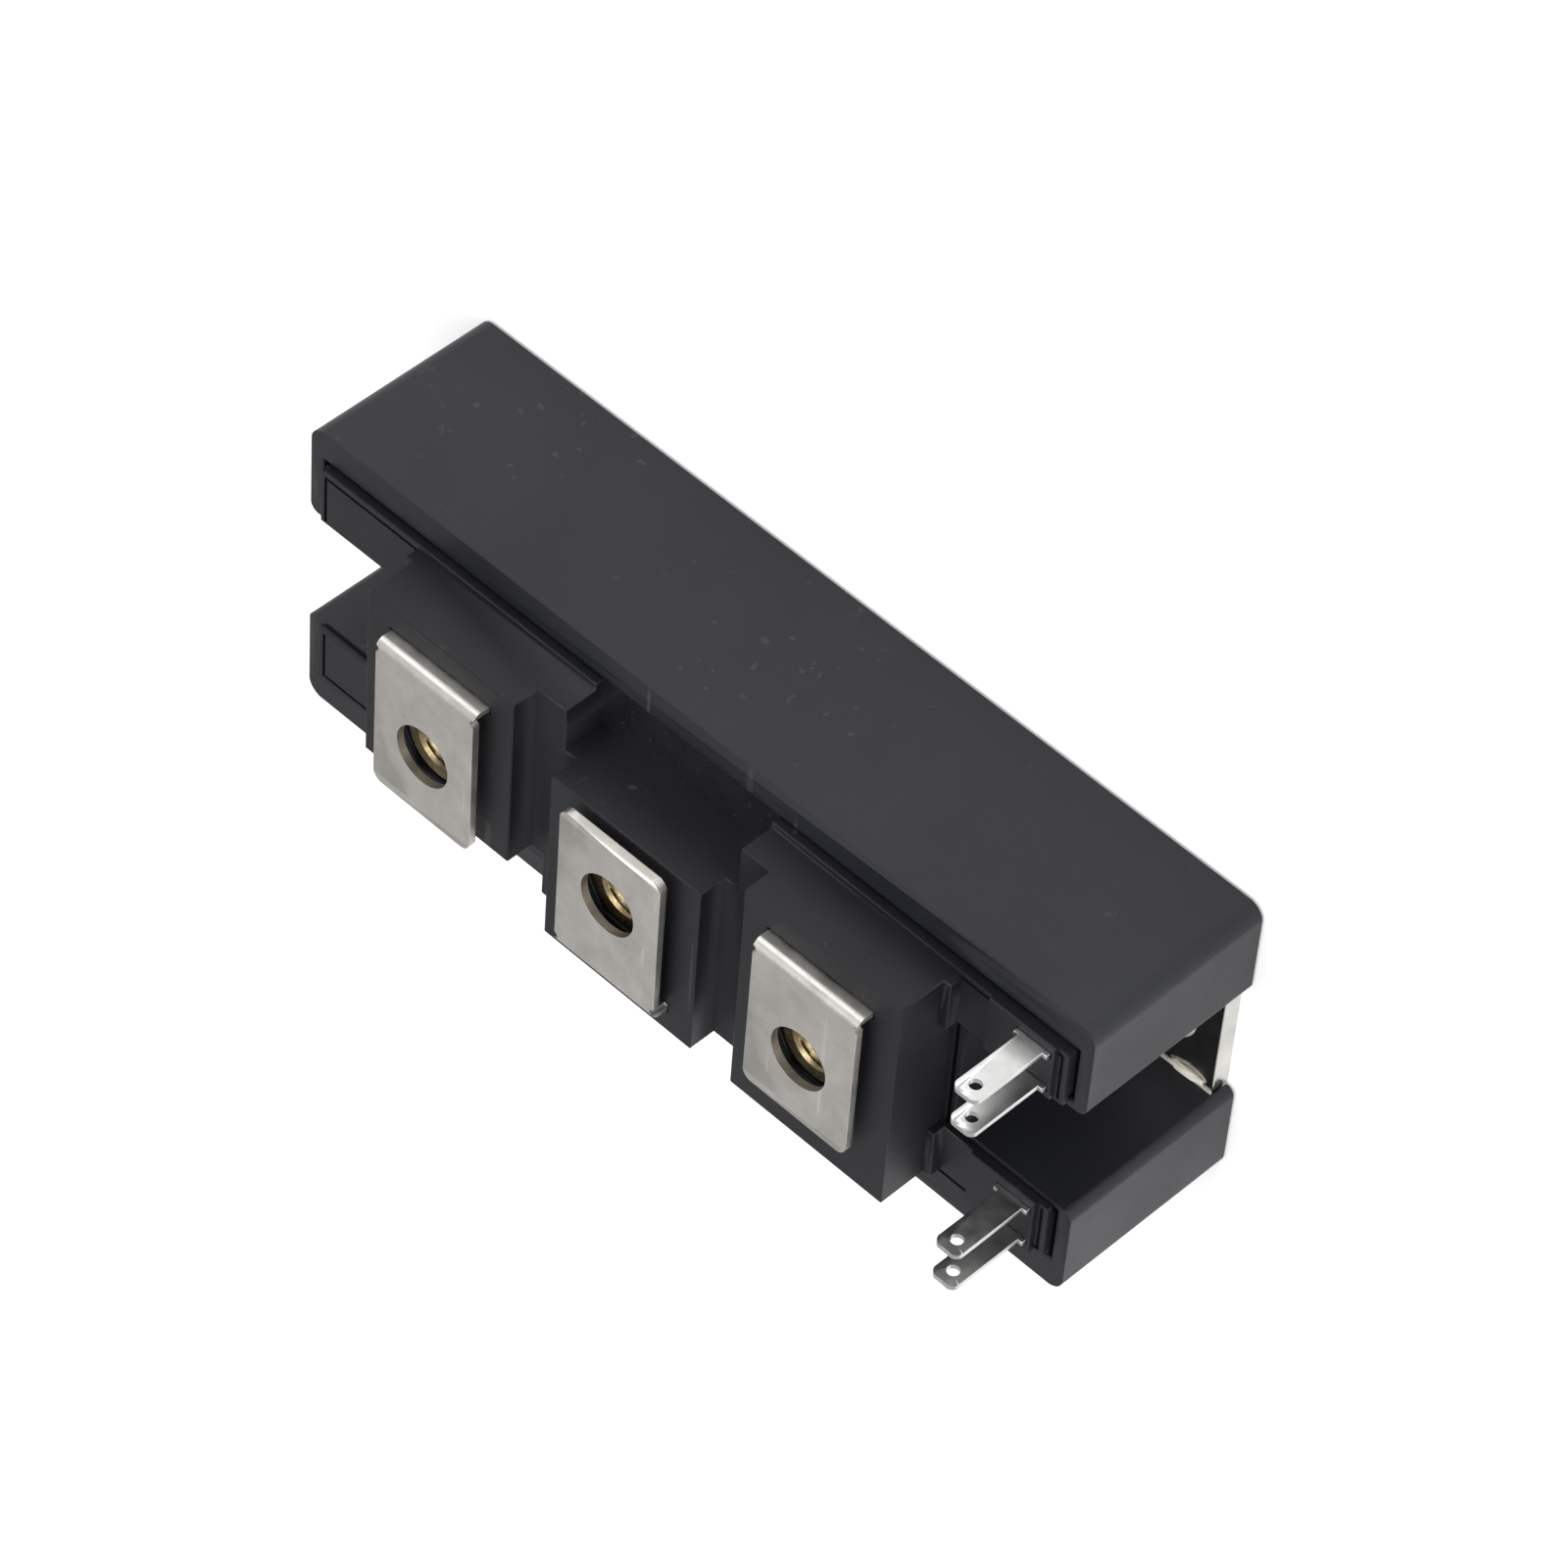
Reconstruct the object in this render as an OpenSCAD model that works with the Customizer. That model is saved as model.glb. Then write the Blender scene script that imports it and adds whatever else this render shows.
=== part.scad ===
// Half-bridge power module: a flat plated base with a moulded case, three
// screw terminals in line on stepped blocks and four push-on control tabs at one
// end. Origin at the middle of the underside, X along the length (control tabs at
// the +X end), Y across, Z up towards the terminals. Millimetres throughout.

/* [Case] */
// Overall length of the case
case_l = 94; // [92:0.5:98]
// Overall width of the case
case_w = 34; // [33.5:0.5:38]
// Height of the case rim above the mounting face
rim_z = 20.6; // [19.5:0.1:23]
// Height of the case foot above the mounting face
case_lift = 0.3; // [0.1:0.1:0.6]
// Radius of the upright outer corners
corner_r = 1.7; // [1:0.1:4]
// Thickness of the long side walls
side_wall = 3.3; // [3:0.1:3.8]
// Thickness of the wall at the tip of each prong
tip_wall = 1.6; // [1.2:0.1:3]
// Thickness of the wall beside each mounting slot
slot_wall = 0.8; // [0.7:0.1:0.9]
// Thickness of the wall at the inner end of each mounting slot
slot_end_wall = 0.7; // [0.6:0.1:1.2]
// Width of each of the four prongs
prong_w = 10.5; // [10:0.1:11]
// Depth of the mounting slots
slot_d = 13.6; // [13.2:0.1:14]
// Radius of the inner corners of the mounting slots
slot_r = 1.5; // [0.5:0.1:3]
// Radius of the corners at the mouth of the mounting slots
mouth_r = 1; // [0.5:0.1:1.4]
// Height of the floor of the pockets in the prongs
pocket_floor_z = 6; // [4:0.5:7.5]

/* [Baseplate] */
// Thickness of the baseplate
base_t = 2; // [1.5:0.1:3]
// Inset of the baseplate from the outer faces of the case
base_inset = 1.1; // [0.8:0.1:1.6]
// Radius of the baseplate corners
base_r = 1.6; // [0.5:0.1:3]
// Distance from the end of the case to the middle of a mounting hole
mount_end = 7; // [6.8:0.1:7.5]
// Diameter of the mounting holes
mount_d = 6.5; // [5.5:0.1:6.8]
// Thickness of the adhesive between baseplate and case
seal_t = 0.2; // [0.1:0.05:0.4]

/* [Cover] */
// Height of the cover's panels above the rim
flange_t = 0.7; // [0.5:0.1:1.2]
// Distance from the mounting slot to the edge of the panels that rest on its wall
flange_slot_inset = 0.4; // [0.3:0.1:0.5]
// Radius of the outer corners of the panels
panel_r = 0.6; // [0.3:0.1:1]
// Depth of the cover below the rim
cover_depth = 2.2; // [1.6:0.1:3]
// Gap between the cover and the walls that it drops between
cover_gap = 0.35; // [0.1:0.05:0.4]
// Width of the fine line moulded inside the edge of the end panels
line_w = 0.35; // [0.2:0.05:0.6]
// Depth of that line
line_depth = 0.3; // [0.1:0.05:0.4]
// Distance of that line from the edge of the panel
line_inset = 0.7; // [0.6:0.1:1.4]
// Distance between neighbouring terminal blocks
block_gap = 4.8; // [4.2:0.1:5.2]
// Distance from the inner face of the side wall to the widest block
block_border = 1.1; // [0.8:0.1:1.4]
// Distance from the end of the cavity to the end blocks
block_end = 0.6; // [0.5:0.1:0.8]
// Distance that a trough cuts into the side of a block
trough_w = 5; // [4:0.1:5.5]
// Wall thickness of the hollow terminal blocks
block_wall = 1.8; // [1.4:0.1:2.2]
// Distance from the tops of the blocks down to the webs that join them
web_drop = 2.9; // [2:0.1:3.5]
// Width of the webs
web_l = 3.4; // [2.6:0.1:3.8]
// Height of the step at the outer end of the end blocks
step_z = 22.6; // [21.5:0.1:24]
// Width of that step
step_l = 0.8; // [0.5:0.1:1]
// Height of the raised pads around the control tabs
pad_z = 21.7; // [21.5:0.1:23]
// Length of the raised pads around the control tabs
pad_l = 7.5; // [6:0.1:8]
// Distance from a control tab to the outer end of its pad
pad_border = 0.9; // [0.7:0.1:1.2]

/* [Main terminals] */
// Height of the upper face of the main terminals
terminal_z = 29.5; // [29:0.1:30.5]
// Thickness of the terminal strip
strip_t = 0.8; // [0.8:0.1:1.2]
// Gap between the plates and the tops of the blocks
plate_gap = 1; // [0.4:0.1:1.2]
// Distance from the side of a block to the edge of its plate
plate_inset = 3; // [2.6:0.1:3.6]
// Distance from the side of a narrow block to the free end of its plate
plate_end = 0.1; // [0:0.1:0.6]
// Wall of the block outside the riser
riser_wall = 2.6; // [2:0.1:2.9]
// Outer radius of the bends in the terminal strip
bend_r = 1; // [0.9:0.1:1.4]
// Radius of the free corners of the plates
plate_corner_r = 1.1; // [0.5:0.1:2.5]
// Diameter of the screw hole in the plates
plate_hole_d = 6.4; // [5.5:0.1:6.6]
// Diameter of the relief notches beside the bend
relief_d = 0.8; // [0.5:0.1:1]
// Width of the riser inside the case
riser_w = 6; // [4:0.5:7]
// Copper left free beside the foot that is soldered to it
foot_border = 1.6; // [1.4:0.1:1.8]
// Height at which the riser becomes narrow
riser_step_z = 21; // [19:0.5:23]
// Clearance around the riser in the cover
riser_gap = 0.15; // [0.1:0.05:0.3]

/* [Terminal nuts] */
// Width across the flats of the nuts
nut_af = 8; // [7:0.5:9]
// Thickness of the nuts
nut_t = 4; // [3:0.5:4.5]
// Core diameter of the thread
nut_core_d = 4.3; // [3.5:0.1:5]
// Depth of the nut face below the top of the block
nut_sink = 0.2; // [0:0.1:0.5]
// Play around the nut in its pocket
nut_gap = 0.1; // [0.05:0.05:0.2]
// Wall of the boss that holds each nut
tower_wall = 1.6; // [1.2:0.1:2]
// Diameter of the well below the nut for the end of the screw
well_d = 5.6; // [5:0.1:6.2]
// Thickness of the floor under that well
well_floor = 1.9; // [1.5:0.1:2.5]

/* [Control tabs] */
// Distance from the end of the case to the middle of the control tabs
tab_end = 5.5; // [5.2:0.1:6]
// Width of the control tabs
tab_w = 2.8; // [2.5:0.1:3]
// Thickness of the control tabs
tab_t = 0.5; // [0.4:0.1:0.8]
// Distance from the inner face of the side wall to the outer tabs
tab_side = 1.4; // [1.2:0.1:1.6]
// Distance between the outer and the inner tabs
tab_spacing = 4.2; // [3.9:0.1:4.3]
// Height of the tips of the control tabs above the main terminals
tab_rise = 0.6; // [-1:0.1:1.5]
// Diameter of the hole in each tab
tab_hole_d = 1.2; // [1:0.1:1.6]
// Distance of that hole from the tip
tab_hole_drop = 1.5; // [1.4:0.1:2.4]
// Radius at the tip of each tab
tab_nose = 0.8; // [0.3:0.1:1.1]
// Width of the shoulders at the root of each tab
tab_shoulder = 0.5; // [0.3:0.1:0.6]
// Play between a tab and its slot in the cover
tab_gap = 0.1; // [0.05:0.05:0.15]
// Height and width of the strip that runs inside the case
run_h = 2; // [1.5:0.1:2.5]
// Height of the underside of that strip
run_z = 8; // [7.5:0.1:9]

/* [Circuit] */
// Distance from the end of the cavity to the ceramic substrates
ceramic_end = 2.9; // [2.4:0.1:3.2]
// Distance from the side of the cavity to the ceramic substrates
ceramic_side = 0.8; // [0.6:0.1:1.2]
// Gap between the two ceramic substrates
ceramic_gap = 1.6; // [1:0.1:2.5]
// Thickness of the ceramic
ceramic_t = 0.6; // [0.4:0.1:1]
// Thickness of the copper on each face
copper_t = 0.3; // [0.2:0.05:0.4]
// Border of bare ceramic around the copper
copper_border = 0.2; // [0.1:0.05:0.5]
// Thickness of the solder layers
solder_t = 0.15; // [0.1:0.05:0.3]
// Thickness of the semiconductor chips
chip_t = 0.25; // [0.15:0.05:0.4]
// Copper left free beside the transistor chips
chip_border = 0.8; // [0.7:0.1:1.5]
// Difference in side between the transistor chips and the smaller diode chips
diode_step = 2.5; // [1.5:0.5:3.5]
// Diameter of the thick bond wires
wire_d = 0.4; // [0.3:0.05:0.5]
// Diameter of the thin control bond wires
thin_wire_d = 0.2; // [0.15:0.05:0.3]

/* [Potting] */
// Height of the top of the soft gel
gel_z = 11.5; // [10.5:0.1:13]
// Height of the hard resin in the troughs
resin_z = 20.1; // [19.6:0.1:20.4]

/* [Hidden] */
$fn = 48;

plastic = "#2b2c30";
resin = "#0e0e10";
gel = "#cfd6d8";
nickel = "#bdb6ac";
tin = "#d8d9da";
brass = "#b9a05a";
copper = "#b4673c";
ceramic = "#ece9e2";
solder = "#9aa0a4";
silicon = "#4d5562";
aluminium = "#c9ccd0";
adhesive = "#d9d6c8";

half_l = case_l / 2;
half_w = case_w / 2;
slot_w = case_w - 2 * prong_w;
slot_end_x = half_l - slot_d;           // inner end of a mounting slot
cavity_x = slot_end_x - slot_end_wall;  // half length of the main cavity
cavity_y = half_w - side_wall;          // half width of the main cavity
pocket_x = half_l - tip_wall;           // outer end of the pockets in the prongs
pocket_y = slot_w / 2 + slot_wall;      // inner side of those pockets
pocket_overlap = 2;                     // run of the pockets into the cavity

base_l = case_l - 2 * base_inset;
base_w = case_w - 2 * base_inset;
mount_x = half_l - mount_end;
seat_z = base_t + seal_t;               // underside of the case walls
seat_gap = 0.15;                        // play of the baseplate in the case

block_z = terminal_z - strip_t - plate_gap;
web_z = block_z - web_drop;
flange_z = rim_z + flange_t;
panel_x = pocket_x - cover_gap;         // outer end of the panels
panel_y = cavity_y - cover_gap;         // outer side of the panels
cover_z = rim_z - cover_depth;          // underside of the cover
block_y = cavity_y - block_border;      // side of the widest block
narrow_y = block_y - trough_w;          // side of a block behind a trough
end_block_x = cavity_x - block_end;     // outer end of the end blocks
block_l = (2 * end_block_x - 2 * block_gap) / 3;
terminal_pitch = block_l + block_gap;

strip_z = terminal_z - strip_t;         // underside of the terminal plates
riser_out = block_y - riser_wall;
riser_in = riser_out - strip_t;
plate_w = block_l - 2 * plate_inset;
plate_free = narrow_y - plate_end;      // from the hole to the free end of a plate
nut_z = block_z - nut_sink - nut_t;     // underside of the nuts
tower_d = nut_af / cos(30) + 2 * tower_wall;

track_z = base_t + solder_t + 2 * copper_t + ceramic_t;  // top of the copper tracks
die_z = track_z + solder_t;             // underside of the chips
wire_z = die_z + chip_t;                // top of the chips
ceramic_l = cavity_x - ceramic_gap / 2 - ceramic_end;
ceramic_w = 2 * (cavity_y - ceramic_side);
ceramic_x = (ceramic_gap + ceramic_l) / 2;
track_l = ceramic_l - 2 * copper_border;
track_w = ceramic_w - 2 * copper_border;

// Plan of each terminal block: centre, far side in +Y, far side in -Y.
blocks = [
    [-terminal_pitch, block_y, -narrow_y],
    [0, narrow_y, -block_y],
    [terminal_pitch, block_y, -block_y]
];
// Riser side of each busbar and the offset of its narrow part from the hole.
busbars = [[1, 3], [-1, 4.2], [1, -3]];

// Layout of one substrate, measured from its centre.
island = 0.6;                               // bare ceramic between copper areas
track_x = track_l / 2;
track_y = track_w / 2;
emitter_y = 0.33 * track_y;                 // edge of the collector area
control_y = -0.55 * track_y;                // edge of the control areas
control_mid_y = -0.8 * track_y;             // middle of the gap between those areas
igbt_s = emitter_y - control_y - island - 2 * chip_border;
diode_s = igbt_s - diode_step;
igbt_x = 0.385 * track_x;                   // centre of the transistor chip
diode_x = -0.49 * track_x;                  // centre of the diode chip
chip_y = (control_y + island + emitter_y) / 2;
control_x = igbt_x + igbt_s / 2 - 2 * island;  // inner end of the control areas
foot_y = emitter_y + island + foot_border;  // inner end of the soldered feet

// Thick wires: end on a chip and end on the emitter area, then places along X.
power_y = [chip_y + 0.22 * igbt_s, emitter_y + 2 * island];
igbt_wires = [for (f = [-0.39, -0.21, -0.03, 0.15]) igbt_x + f * igbt_s];
diode_wires = [for (f = [-0.37, -0.12, 0.12, 0.37]) diode_x + f * diode_s];
// Thin wires: place along X, end on the chip, end on a control area.
gate_wires = [
    [control_x + wire_d, chip_y - 0.38 * igbt_s, (control_mid_y + island / 2 + control_y) / 2],
    [control_x + wire_d + thin_wire_d, chip_y - 0.27 * igbt_s,
     (control_mid_y - island / 2 - track_y) / 2]
];
// Wires between the substrates: their two ends in X and their places in Y.
bridge_x = ceramic_gap / 2 + copper_border + island + wire_d;
bridge_y = [-emitter_y - island - wire_d, -emitter_y - island - 2.5 * wire_d];

// Each tab: place across the module, inner end of its strip inside the case.
tab_x = half_l - tab_end;
tab_y = cavity_y - tab_side;
tab_z = terminal_z + tab_rise;
near_end_x = ceramic_x + control_x + 1.5 * island;
far_end_x = -ceramic_x + control_x + 3 * island;
tabs = [
    [tab_y, near_end_x],
    [tab_y - tab_spacing, near_end_x],
    [-tab_y + tab_spacing, far_end_x],
    [-tab_y, far_end_x]
];

// A rectangle about the origin with round corners.
module round_rect(l, w, r) {
    square([l - 2 * r, w], center = true);
    square([l, w - 2 * r], center = true);
    for (sx = [-1, 1], sy = [-1, 1])
        translate([sx * (l / 2 - r), sy * (w / 2 - r)]) circle(r);
}

// Plan of one mounting slot, open at the end of the case.
module slot_plan(side) {
    long = slot_d + 1;
    translate([side * (slot_end_x + long / 2), 0])
        square([long - 2 * slot_r, slot_w], center = true);
    translate([side * (slot_end_x + long / 2), 0])
        square([long, slot_w - 2 * slot_r], center = true);
    for (sy = [-1, 1])
        translate([side * (slot_end_x + slot_r), sy * (slot_w / 2 - slot_r)])
            circle(slot_r);
    translate([side * (half_l + 0.5), 0]) square([2 * slot_r, slot_w], center = true);
}

// Quadrant outside a circle of radius r, with the round corner towards the origin.
module corner_cut(r) {
    difference() {
        translate([-r, -r]) square(r + 1);
        translate([-r, -r]) circle(r);
    }
}

// Outer plan of the case.
module case_plan() {
    difference() {
        round_rect(case_l, case_w, corner_r);
        for (side = [-1, 1]) {
            slot_plan(side);
            for (sy = [-1, 1])
                translate([side * half_l, sy * slot_w / 2])
                    scale([side, -sy]) corner_cut(mouth_r);
        }
    }
}

// Plan of the main cavity, smaller by the gap g all round.
module cavity_plan(g = 0) {
    square([2 * (cavity_x - g), 2 * (cavity_y - g)], center = true);
}

// Plan of the four pockets in the prongs, smaller by the gap g all round.
module pocket_plan(g = 0) {
    for (sx = [-1, 1], sy = [-1, 1]) {
        x0 = cavity_x - pocket_overlap;
        x1 = pocket_x - g;
        y0 = pocket_y + g;
        y1 = cavity_y - g;
        translate([sx * (x0 + x1) / 2, sy * (y0 + y1) / 2])
            square([x1 - x0, y1 - y0], center = true);
    }
}

// A box given by its limits.
module box(x, y, z) {
    translate([x[0], y[0], z[0]]) cube([x[1] - x[0], y[1] - y[0], z[1] - z[0]]);
}

// ---- baseplate, adhesive and case ----

module baseplate() {
    color(nickel)
        difference() {
            linear_extrude(base_t) round_rect(base_l, base_w, base_r);
            for (side = [-1, 1])
                translate([side * mount_x, 0, -1])
                    cylinder(d = mount_d, h = base_t + 2);
        }
}

module frame_adhesive() {
    color(adhesive)
        translate([0, 0, base_t])
            linear_extrude(seal_t)
                difference() {
                    round_rect(base_l, base_w, base_r);
                    cavity_plan();
                    for (side = [-1, 1]) slot_plan(side);
                }
}

module case_frame() {
    color(plastic)
        difference() {
            translate([0, 0, case_lift])
                linear_extrude(rim_z - case_lift) case_plan();
            translate([0, 0, case_lift - 1])
                linear_extrude(seat_z - case_lift + 1)
                    round_rect(base_l + 2 * seat_gap, base_w + 2 * seat_gap, base_r);
            translate([0, 0, -1]) linear_extrude(rim_z + 2) cavity_plan();
            translate([0, 0, pocket_floor_z]) linear_extrude(rim_z) pocket_plan();
        }
}

// ---- cover ----

// Panels of the cover, which stand above the rim and rest on the slot walls.
module flange_plan() {
    y0 = slot_w / 2 + flange_slot_inset;
    difference() {
        round_rect(2 * panel_x, 2 * panel_y, panel_r);
        for (side = [-1, 1])
            translate([side * (end_block_x + half_l) / 2, 0])
                square([half_l - end_block_x, 2 * y0], center = true);
        trough_plan();
    }
}

// Openings of the two troughs.
module trough_plan() {
    x_mid = block_l / 2 + block_gap - web_l;
    translate([-x_mid, narrow_y]) square([2 * x_mid, half_w - narrow_y]);
    translate([-end_block_x + block_wall, -half_w])
        square([block_l + block_gap - web_l - block_wall, half_w - narrow_y]);
}

// Fine line moulded a little inside the edge of the end panels.
module panel_lines() {
    y0 = slot_w / 2 + flange_slot_inset + line_w;
    y1 = panel_y - line_inset;
    x0 = end_block_x + step_l;
    x1 = panel_x - line_inset;
    for (sx = [-1, 1], sy = [-1, 1]) {
        translate([sx * (x0 + x1) / 2, sy * y1])
            square([x1 - x0 + line_w, line_w], center = true);
        translate([sx * x1, sy * (y0 + y1) / 2]) square([line_w, y1 - y0], center = true);
    }
}

// Outer form of the block for terminal i.
module block_solid(i) {
    b = blocks[i];
    translate([b[0] - block_l / 2, b[2], cover_z])
        cube([block_l, b[1] - b[2], block_z - cover_z]);
}

// Space inside the block for terminal i, around the boss for its nut.
module block_core(i) {
    b = blocks[i];
    difference() {
        translate([b[0] - block_l / 2 + block_wall, b[2] + block_wall, cover_z - 1])
            cube([block_l - 2 * block_wall, b[1] - b[2] - 2 * block_wall,
                  block_z - block_wall - cover_z + 1]);
        translate([b[0], 0, 0]) cylinder(d = tower_d, h = block_z);
    }
}

// Hexagonal pocket, clearance hole and screw well under terminal i.
module nut_pocket(i) {
    translate([blocks[i][0], 0, nut_z])
        cylinder(d = (nut_af + 2 * nut_gap) / cos(30), h = nut_t + 2, $fn = 6);
    translate([blocks[i][0], 0, cover_z + well_floor])
        cylinder(d = well_d, h = nut_z + nut_t / 2 - cover_z - well_floor);
}

// Slot in the top of block i through which the riser comes up.
module riser_slot(i) {
    dir = busbars[i][0];
    y_mid = dir * (riser_in + riser_out) / 2;
    slot_t = strip_t + 2 * riser_gap;
    translate([blocks[i][0], y_mid, block_z])
        cube([plate_w + 2 * riser_gap, slot_t, 2 * (block_z - riser_step_z)], center = true);
    translate([blocks[i][0] + busbars[i][1], y_mid, riser_step_z])
        cube([riser_w + 2 * riser_gap, slot_t, 2 * (riser_step_z - cover_z) + 1], center = true);
}

// Webs that join neighbouring blocks.
module webs() {
    inner = block_l / 2;
    outer = inner + block_gap;
    box([-outer, -outer + web_l], [-narrow_y, block_y], [cover_z, web_z]);
    box([-inner - web_l, -inner], [-block_y, narrow_y], [cover_z, web_z]);
    box([inner, outer], [-block_y, narrow_y], [cover_z, web_z]);
    box([outer - web_l, outer], [-block_y, block_y], [cover_z, web_z]);
}

// Raised step at the outer end of the end blocks, beside each slot.
module end_steps() {
    y0 = slot_w / 2 + flange_slot_inset;
    for (sx = [-1, 1], sy = [-1, 1])
        translate([sx * (end_block_x + step_l / 2), sy * (y0 + block_y) / 2,
                   (rim_z + step_z) / 2])
            cube([step_l, block_y - y0, step_z - rim_z], center = true);
}

// Raised pads around the control tabs.
module tab_pads() {
    x1 = tab_x + tab_w / 2 + pad_border;
    y0 = slot_w / 2 + flange_slot_inset;
    for (sy = [-1, 1])
        translate([x1 - pad_l / 2, sy * (y0 + panel_y) / 2, (rim_z + pad_z) / 2])
            cube([pad_l, panel_y - y0, pad_z - rim_z], center = true);
}

module terminal_cover() {
    color(plastic)
        difference() {
            union() {
                translate([0, 0, cover_z])
                    linear_extrude(cover_depth) {
                        cavity_plan(cover_gap);
                        pocket_plan(cover_gap);
                    }
                difference() {
                    translate([0, 0, rim_z]) linear_extrude(flange_t) flange_plan();
                    translate([0, 0, flange_z - line_depth])
                        linear_extrude(line_depth + 1) panel_lines();
                }
                for (i = [0 : 2]) block_solid(i);
                webs();
                end_steps();
                tab_pads();
            }
            translate([0, 0, cover_z - 1])
                linear_extrude(flange_z - cover_z + 1.1)
                    trough_plan();
            for (i = [0 : 2]) {
                block_core(i);
                nut_pocket(i);
                riser_slot(i);
            }
            for (t = tabs)
                translate([tab_x, t[0], rim_z])
                    cube([tab_w + 2 * (tab_shoulder + tab_gap), tab_t + 2 * tab_gap,
                          2 * cover_depth + 2], center = true);
        }
}

// ---- main terminals ----

// Rounds an outer bend of the strip along X. The corner lies at y and z, dir is up or down.
module bend_cut(y, z, dir) {
    translate([0, y, z])
        rotate([90, 0, 90])
            linear_extrude(2 * plate_w, center = true) scale([1, dir]) corner_cut(bend_r);
}

// Terminal strip with its riser at +Y. The narrow part is offset by dx.
module terminal_strip(dx) {
    plate_l = plate_free + riser_out;
    flat_y = (riser_out - plate_free) / 2;
    difference() {
        union() {
            translate([0, 0, strip_z])
                linear_extrude(strip_t)
                    difference() {
                        translate([0, flat_y]) square([plate_w, plate_l], center = true);
                        for (sx = [-1, 1])
                            translate([sx * plate_w / 2, -plate_free])
                                scale([sx, -1]) corner_cut(plate_corner_r);
                    }
            box([-plate_w / 2, plate_w / 2], [riser_in, riser_out], [riser_step_z, terminal_z]);
            box([dx - riser_w / 2, dx + riser_w / 2], [riser_in, riser_out],
                [track_z, riser_step_z + strip_t]);
            box([dx - riser_w / 2, dx + riser_w / 2], [foot_y, riser_out],
                [track_z, track_z + strip_t]);
        }
        cylinder(d = plate_hole_d, h = 2 * terminal_z);
        for (sx = [-1, 1])
            translate([sx * plate_w / 2, riser_out - bend_r, strip_z - 1])
                cylinder(d = relief_d, h = strip_t + 2);
        bend_cut(riser_out, terminal_z, 1);
        bend_cut(riser_out, track_z, -1);
    }
}

module busbar(i) {
    translate([blocks[i][0], 0, 0])
        if (busbars[i][0] > 0) terminal_strip(busbars[i][1]);
        else mirror([0, 1, 0]) terminal_strip(busbars[i][1]);
}

module busbar_1() { color(nickel) busbar(0); }
module busbar_2() { color(nickel) busbar(1); }
module busbar_3() { color(nickel) busbar(2); }

module terminal_nut(i) {
    color(brass)
        translate([blocks[i][0], 0, nut_z])
            difference() {
                cylinder(d = nut_af / cos(30), h = nut_t, $fn = 6);
                translate([0, 0, -1]) cylinder(d = nut_core_d, h = nut_t + 2);
            }
}

module terminal_nut_1() { terminal_nut(0); }
module terminal_nut_2() { terminal_nut(1); }
module terminal_nut_3() { terminal_nut(2); }

// ---- control tabs ----

// Side view of a tab and of the strip that runs inside the case.
module tab_profile(end_x) {
    shoulder_z = pad_z + tab_shoulder;
    x0 = tab_x - tab_w / 2;
    x1 = tab_x + tab_w / 2;
    difference() {
        polygon([
            [x1, run_z],
            [x1, cover_z],
            [x1 + tab_shoulder, cover_z],
            [x1 + tab_shoulder, shoulder_z],
            [x1, shoulder_z],
            [x1, tab_z],
            [x0, tab_z],
            [x0, shoulder_z],
            [x0 - tab_shoulder, shoulder_z],
            [x0 - tab_shoulder, cover_z],
            [x0, cover_z],
            [x0, run_z + run_h],
            [end_x, run_z + run_h],
            [end_x, track_z],
            [end_x + run_h, track_z],
            [end_x + run_h, run_z]
        ]);
        translate([tab_x, tab_z - tab_hole_drop]) circle(d = tab_hole_d);
        for (sx = [-1, 1])
            translate([tab_x + sx * tab_w / 2, tab_z]) scale([sx, 1]) corner_cut(tab_nose);
    }
}

module control_tab(i) {
    color(tin)
        translate([0, tabs[i][0] + tab_t / 2, 0])
            rotate([90, 0, 0]) linear_extrude(tab_t) tab_profile(tabs[i][1]);
}

module control_tab_1() { control_tab(0); }
module control_tab_2() { control_tab(1); }
module control_tab_3() { control_tab(2); }
module control_tab_4() { control_tab(3); }

// ---- circuit ----

// Plate of copper, solder or ceramic on side sx at height z.
module layer(sx, l, w, z, t) {
    translate([sx * ceramic_x, 0, z + t / 2]) cube([l, w, t], center = true);
}

module solder_left() { color(solder) layer(-1, track_l, track_w, base_t, solder_t); }
module solder_right() { color(solder) layer(1, track_l, track_w, base_t, solder_t); }

module copper_back(sx) {
    color(copper) layer(sx, track_l, track_w, base_t + solder_t, copper_t);
}
module copper_back_left() { copper_back(-1); }
module copper_back_right() { copper_back(1); }

module ceramic_plate(sx) {
    color(ceramic) layer(sx, ceramic_l, ceramic_w, base_t + solder_t + copper_t, ceramic_t);
}
module ceramic_left() { ceramic_plate(-1); }
module ceramic_right() { ceramic_plate(1); }

// Puts its children on the substrate at side sx. The right one is a mirror image,
// so that the control areas face the control tabs that serve them.
module on_substrate(sx) {
    translate([sx * ceramic_x, 0, 0])
        if (sx < 0) children();
        else mirror([0, 1, 0]) children();
}

// Copper areas about the centre of a substrate: limits in X and in Y.
module copper_tracks(sx) {
    z = [track_z - copper_t, track_z];
    color(copper)
        on_substrate(sx) {
            box([-track_x, track_x], [control_y + island, emitter_y], z);
            box([-track_x, control_x - island], [-track_y, control_y + island], z);
            box([-track_x, track_x], [emitter_y + island, track_y], z);
            box([control_x, track_x], [control_mid_y + island / 2, control_y], z);
            box([control_x, track_x], [-track_y, control_mid_y - island / 2], z);
        }
}
module copper_tracks_left() { copper_tracks(-1); }
module copper_tracks_right() { copper_tracks(1); }

// Square of side s at the place of a chip, from height z up by t.
module chip(x, s, z, t) {
    translate([x, chip_y, z + t / 2]) cube([s, s, t], center = true);
}

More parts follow.
